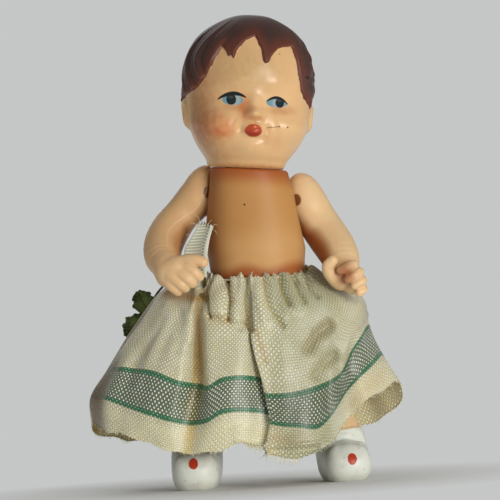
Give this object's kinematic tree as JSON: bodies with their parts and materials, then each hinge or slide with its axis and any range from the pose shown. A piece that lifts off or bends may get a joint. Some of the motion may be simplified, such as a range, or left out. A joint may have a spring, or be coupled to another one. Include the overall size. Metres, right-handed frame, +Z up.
{
  "type": "miniature doll",
  "caption": "Small strung vinyl doll with a turning head, swinging arms and legs, moulded hair and boots, and a gathered ribbon skirt.",
  "frame": {"origin": "on the floor plane under the middle of the standing doll's box, skirt included", "axes": "+Z up the standing doll, the face looks along -Y, and the doll's left side is at +X"},
  "size_m": [0.0674, 0.0344, 0.0993],
  "materials": {
    "head_vinyl": "warm cream vinyl with a soft sheen, painted hair, eyes, lips and blush",
    "body_vinyl": "amber cream vinyl with a soft sheen",
    "limb_vinyl": "pale cream vinyl with a soft sheen and fine mould seams",
    "leg_vinyl": "pale cream vinyl, with boots painted off-white and a red dot on each instep",
    "elastic_cord": "round covered elastic",
    "ribbon_cloth": "shiny open rayon weave, cream with a dull green band between two green lines",
    "thread": "cotton thread",
    "strap_ribbon": "ribbed ribbon with a green and white woven edge, torn at its top",
    "leaf_cloth": "crinkled dark green cloth leaves on a wrapped stem"
  },
  "bodies": {
    "torso": {"torso": "body_vinyl", "arm_elastic": "elastic_cord", "leg_elastic": "elastic_cord", "skirt": "ribbon_cloth", "gathering_thread": "thread", "strap": "strap_ribbon", "leaf_stem": "leaf_cloth", "leaf_upper": "leaf_cloth", "leaf_lower": "leaf_cloth"},
    "head": {"head": "head_vinyl"},
    "right_arm": {"right_arm": "limb_vinyl"},
    "left_arm": {"left_arm": "limb_vinyl"},
    "right_leg": {"right_leg": "leg_vinyl"},
    "left_leg": {"left_leg": "leg_vinyl"}
  },
  "joints": [
    {"name": "neck_turn", "type": "hinge", "parent": "torso", "child": "head", "pos_m": [0.00273, 0.00104, 0.0669], "axis": [0.1045, 0, 0.9945], "continuous": true},
    {"name": "right_shoulder", "type": "hinge", "parent": "torso", "child": "right_arm", "pos_m": [-0.00487, 0.00392, 0.062], "axis": [-0.9063, 0.4226, 0], "range_deg": [-4, 95]},
    {"name": "left_shoulder", "type": "hinge", "parent": "torso", "child": "left_arm", "pos_m": [0.01194, 0.00392, 0.0594], "axis": [-0.9063, -0.4226, 0], "range_deg": [0, 95]},
    {"name": "right_hip", "type": "hinge", "parent": "torso", "child": "right_leg", "pos_m": [-0.00237, 0.00144, 0.038], "axis": [-1, 0, 0], "range_deg": [-25, 90], "deforming": ["skirt"]},
    {"name": "left_hip", "type": "hinge", "parent": "torso", "child": "left_leg", "pos_m": [0.00943, 0.00144, 0.038], "axis": [-1, 0, 0], "range_deg": [-25, 90], "deforming": ["skirt"]}
  ]
}
